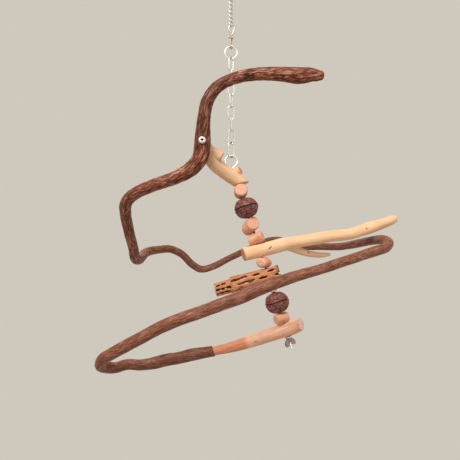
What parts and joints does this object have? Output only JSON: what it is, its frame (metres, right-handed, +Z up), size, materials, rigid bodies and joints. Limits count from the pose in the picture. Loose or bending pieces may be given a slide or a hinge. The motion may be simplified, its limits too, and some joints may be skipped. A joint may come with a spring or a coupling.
{
  "type": "hanging bird play gym",
  "caption": "Hanging play gym for a small parrot: spiral vine perch with peeled sticks, beads, walnuts and cholla wood on a steel rod and chain.",
  "frame": {"origin": "inside top of the hanging ring, where a hook carries the part", "axes": "+Z up along the chain, +X to the right and +Y away from the viewer, facing the gym as it is pictured"},
  "size_m": [0.3784, 0.3244, 0.4902],
  "materials": {
    "stainless_steel": "polished stainless wire with fine drawing marks",
    "nickel_clasp": "nickel-plated casting, bright and slightly soft at the edges",
    "vine_bark": "sandblasted vine, red-brown, matt with lengthwise fibres",
    "peeled_wood": "peeled branch, pale cream, smooth and matt",
    "bead_wood": "peeled branch cuttings, peach, smooth and matt",
    "walnut_shell": "walnut shell, dark brown, wrinkled, slight sheen",
    "cholla_wood": "dried cholla skeleton, tan, fibrous and matt"
  },
  "bodies": {
    "hanging_ring": {"hanging_ring": "stainless_steel"},
    "curb_link_1": {"curb_link_1": "stainless_steel"},
    "curb_link_2": {"curb_link_2": "stainless_steel"},
    "curb_link_3": {"curb_link_3": "stainless_steel"},
    "curb_link_4": {"curb_link_4": "stainless_steel"},
    "curb_link_5": {"curb_link_5": "stainless_steel"},
    "curb_link_6": {"curb_link_6": "stainless_steel"},
    "curb_link_7": {"curb_link_7": "stainless_steel"},
    "clasp_swivel_eye": {"clasp_swivel_eye": "nickel_clasp"},
    "clasp_body": {"clasp_body": "nickel_clasp", "clasp_gate_pin": "nickel_clasp"},
    "clasp_gate": {"clasp_gate": "nickel_clasp"},
    "round_ring": {"round_ring": "stainless_steel"},
    "chain_link_1": {"chain_link_1": "stainless_steel"},
    "chain_link_2": {"chain_link_2": "stainless_steel"},
    "chain_link_3": {"chain_link_3": "stainless_steel"},
    "chain_link_4": {"chain_link_4": "stainless_steel"},
    "chain_link_5": {"chain_link_5": "stainless_steel"},
    "chain_link_6": {"chain_link_6": "stainless_steel"},
    "chain_link_7": {"chain_link_7": "stainless_steel"},
    "connector_link": {"connector_link": "stainless_steel"},
    "gym": {"threaded_rod": "stainless_steel", "vine": "vine_bark", "vine_screw": "stainless_steel", "joint_dowel": "peeled_wood", "top_stick": "peeled_wood", "top_bead": "bead_wood", "bottom_stick": "peeled_wood"},
    "bead_1": {"bead_1": "bead_wood"},
    "walnut_1": {"walnut_1": "walnut_shell"},
    "bead_2": {"bead_2": "bead_wood"},
    "bead_3": {"bead_3": "bead_wood"},
    "forked_perch": {"forked_perch": "peeled_wood"},
    "bead_4": {"bead_4": "bead_wood"},
    "cholla_piece": {"cholla_piece": "cholla_wood"},
    "bead_5": {"bead_5": "bead_wood"},
    "walnut_2": {"walnut_2": "walnut_shell"},
    "bead_6": {"bead_6": "bead_wood"},
    "rod_washer": {"rod_washer": "stainless_steel"},
    "wing_nut": {"wing_nut": "stainless_steel"}
  },
  "joints": [
    {"name": "curb_link_1_swing", "type": "hinge", "parent": "hanging_ring", "child": "curb_link_1", "pos_m": [0, 0, -0.0184], "axis": [1, 0, 0], "range_deg": [-15, 15]},
    {"name": "curb_link_2_swing", "type": "hinge", "parent": "curb_link_1", "child": "curb_link_2", "pos_m": [0, 0, -0.02355], "axis": [-1, 0, 0], "range_deg": [-15, 15]},
    {"name": "curb_link_3_swing", "type": "hinge", "parent": "curb_link_2", "child": "curb_link_3", "pos_m": [0, 0, -0.02905], "axis": [1, 0, 0], "range_deg": [-15, 15]},
    {"name": "curb_link_4_swing", "type": "hinge", "parent": "curb_link_3", "child": "curb_link_4", "pos_m": [0, 0, -0.03455], "axis": [-1, 0, 0], "range_deg": [-15, 15]},
    {"name": "curb_link_5_swing", "type": "hinge", "parent": "curb_link_4", "child": "curb_link_5", "pos_m": [0, 0, -0.04005], "axis": [1, 0, 0], "range_deg": [-15, 15]},
    {"name": "curb_link_6_swing", "type": "hinge", "parent": "curb_link_5", "child": "curb_link_6", "pos_m": [0, 0, -0.04555], "axis": [-1, 0, 0], "range_deg": [-15, 15]},
    {"name": "curb_link_7_swing", "type": "hinge", "parent": "curb_link_6", "child": "curb_link_7", "pos_m": [0, 0, -0.05105], "axis": [1, 0, 0], "range_deg": [-15, 15]},
    {"name": "swivel_eye_swing", "type": "hinge", "parent": "curb_link_7", "child": "clasp_swivel_eye", "pos_m": [0, 0, -0.05655], "axis": [-1, 0, 0], "range_deg": [-12, 12]},
    {"name": "clasp_swivel", "type": "hinge", "parent": "clasp_swivel_eye", "child": "clasp_body", "pos_m": [0, 0, -0.0704], "axis": [0, 0, 1], "continuous": true},
    {"name": "clasp_gate_hinge", "type": "hinge", "parent": "clasp_body", "child": "clasp_gate", "pos_m": [-0.00127, -0.00314, -0.07136], "axis": [-0.9272, 0.3746, 0], "range_deg": [-18, 0], "stiffness_Nm_per_rad": 0.01, "springref_deg": 11.46},
    {"name": "round_ring_swing", "type": "hinge", "parent": "clasp_body", "child": "round_ring", "pos_m": [0, 0, -0.0848], "axis": [1, 0, 0], "range_deg": [-15, 15]},
    {"name": "chain_link_1_swing", "type": "hinge", "parent": "round_ring", "child": "chain_link_1", "pos_m": [0, 0, -0.09835], "axis": [-1, 0, 0], "range_deg": [-30, 30]},
    {"name": "chain_link_2_swing", "type": "hinge", "parent": "chain_link_1", "child": "chain_link_2", "pos_m": [0, 0, -0.114], "axis": [1, 0, 0], "range_deg": [-22, 22]},
    {"name": "chain_link_3_swing", "type": "hinge", "parent": "chain_link_2", "child": "chain_link_3", "pos_m": [0, 0, -0.12985], "axis": [-1, 0, 0], "range_deg": [-22, 22]},
    {"name": "chain_link_4_swing", "type": "hinge", "parent": "chain_link_3", "child": "chain_link_4", "pos_m": [0, 0, -0.1457], "axis": [1, 0, 0], "range_deg": [-30, 30]},
    {"name": "chain_link_5_swing", "type": "hinge", "parent": "chain_link_4", "child": "chain_link_5", "pos_m": [0, 0, -0.16155], "axis": [-1, 0, 0], "range_deg": [-18, 18]},
    {"name": "chain_link_6_swing", "type": "hinge", "parent": "chain_link_5", "child": "chain_link_6", "pos_m": [0, 0, -0.1774], "axis": [1, 0, 0], "range_deg": [-30, 30]},
    {"name": "chain_link_7_swing", "type": "hinge", "parent": "chain_link_6", "child": "chain_link_7", "pos_m": [0, 0, -0.19325], "axis": [-1, 0, 0], "range_deg": [-22, 22]},
    {"name": "connector_swing", "type": "hinge", "parent": "chain_link_7", "child": "connector_link", "pos_m": [0, 0, -0.2091], "axis": [1, 0, 0], "range_deg": [-15, 15]},
    {"name": "gym_tilt", "type": "hinge", "parent": "connector_link", "child": "gym", "pos_m": [0, -0.00104, -0.23248], "axis": [0, 0.9914, -0.1305], "range_deg": [-25, 25]},
    {"name": "bead_1_turn", "type": "hinge", "parent": "gym", "child": "bead_1", "pos_m": [0, -0.00104, -0.23248], "axis": [0.3024, -0.1244, -0.945], "continuous": true},
    {"name": "walnut_1_turn", "type": "hinge", "parent": "gym", "child": "walnut_1", "pos_m": [0, -0.00104, -0.23248], "axis": [0.3024, -0.1244, -0.945], "continuous": true},
    {"name": "bead_2_turn", "type": "hinge", "parent": "gym", "child": "bead_2", "pos_m": [0, -0.00104, -0.23248], "axis": [0.3024, -0.1244, -0.945], "continuous": true},
    {"name": "bead_3_turn", "type": "hinge", "parent": "gym", "child": "bead_3", "pos_m": [0, -0.00104, -0.23248], "axis": [0.3024, -0.1244, -0.945], "continuous": true},
    {"name": "forked_perch_turn", "type": "hinge", "parent": "gym", "child": "forked_perch", "pos_m": [0, -0.00104, -0.23248], "axis": [0.3024, -0.1244, -0.945], "range_deg": [-18, 90]},
    {"name": "bead_4_turn", "type": "hinge", "parent": "gym", "child": "bead_4", "pos_m": [0, -0.00104, -0.23248], "axis": [0.3024, -0.1244, -0.945], "continuous": true},
    {"name": "cholla_piece_turn", "type": "hinge", "parent": "gym", "child": "cholla_piece", "pos_m": [0, -0.00104, -0.23248], "axis": [0.3024, -0.1244, -0.945], "range_deg": [-120, 120]},
    {"name": "bead_5_turn", "type": "hinge", "parent": "gym", "child": "bead_5", "pos_m": [0, -0.00104, -0.23248], "axis": [0.3024, -0.1244, -0.945], "continuous": true},
    {"name": "walnut_2_turn", "type": "hinge", "parent": "gym", "child": "walnut_2", "pos_m": [0, -0.00104, -0.23248], "axis": [0.3024, -0.1244, -0.945], "continuous": true},
    {"name": "bead_6_turn", "type": "hinge", "parent": "gym", "child": "bead_6", "pos_m": [0, -0.00104, -0.23248], "axis": [0.3024, -0.1244, -0.945], "continuous": true},
    {"name": "rod_washer_slide", "type": "slide", "parent": "gym", "child": "rod_washer", "axis": [0.3024, -0.1244, -0.945], "range_m": [0, 0.0014]},
    {"name": "wing_nut_turn", "type": "hinge", "parent": "rod_washer", "child": "wing_nut", "pos_m": [0, -0.00104, -0.23248], "axis": [0.3024, -0.1244, -0.945], "range_deg": [0, 720]}
  ],
  "couplings": [
    {"joint": "wing_nut_turn", "follows": "rod_washer_slide", "rad_per_m": 8975.9}
  ]
}
